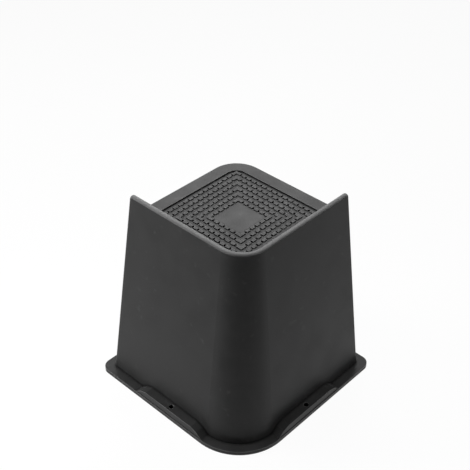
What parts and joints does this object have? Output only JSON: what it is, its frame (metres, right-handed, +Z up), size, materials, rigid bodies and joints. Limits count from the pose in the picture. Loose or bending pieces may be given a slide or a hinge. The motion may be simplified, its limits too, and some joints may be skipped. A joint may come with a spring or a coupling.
{
  "type": "bed riser",
  "caption": "Hollow tapered plastic block that lifts a bed leg: flanged foot with screw holes, square deck with a recessed stud field, and a corner guard on two adjacent sides.",
  "frame": {"origin": "middle of the foot, on the floor", "axes": "+Z up; the guard stands on the sides at -X and -Y, and the deck is open towards +X and +Y"},
  "size_m": [0.1386, 0.1386, 0.1524],
  "materials": {
    "moulded_plastic": "matt black moulding with a fine grain"
  },
  "bodies": {
    "root": {"riser_body": "moulded_plastic"}
  },
  "joints": []
}
